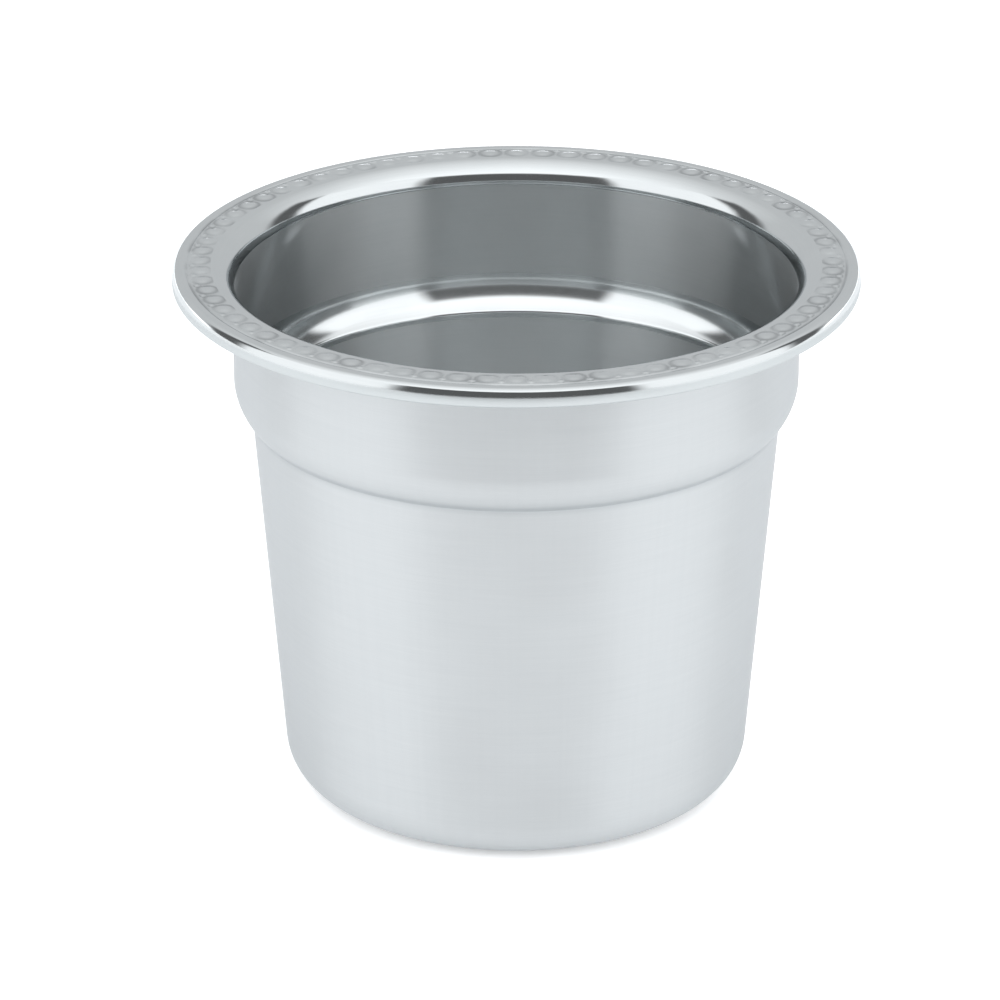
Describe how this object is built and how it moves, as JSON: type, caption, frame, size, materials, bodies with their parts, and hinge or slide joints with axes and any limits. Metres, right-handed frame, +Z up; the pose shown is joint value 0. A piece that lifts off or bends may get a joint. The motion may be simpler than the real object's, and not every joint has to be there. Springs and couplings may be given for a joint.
{
  "type": "soup kettle",
  "caption": "One-piece stainless-steel soup kettle with a wide flange and a turned-down lip, an upright collar and a tapered body, for hanging in a round food warmer well.",
  "frame": {"origin": "centre of the flat base, on the surface the kettle stands on", "axes": "+Z up along the axis of the round body; X and Y are alike"},
  "size_m": [0.32, 0.32, 0.259],
  "materials": {
    "stainless_steel": "satin outside, polished inside and on the flange"
  },
  "bodies": {
    "root": {"kettle_shell": "stainless_steel"}
  },
  "joints": []
}
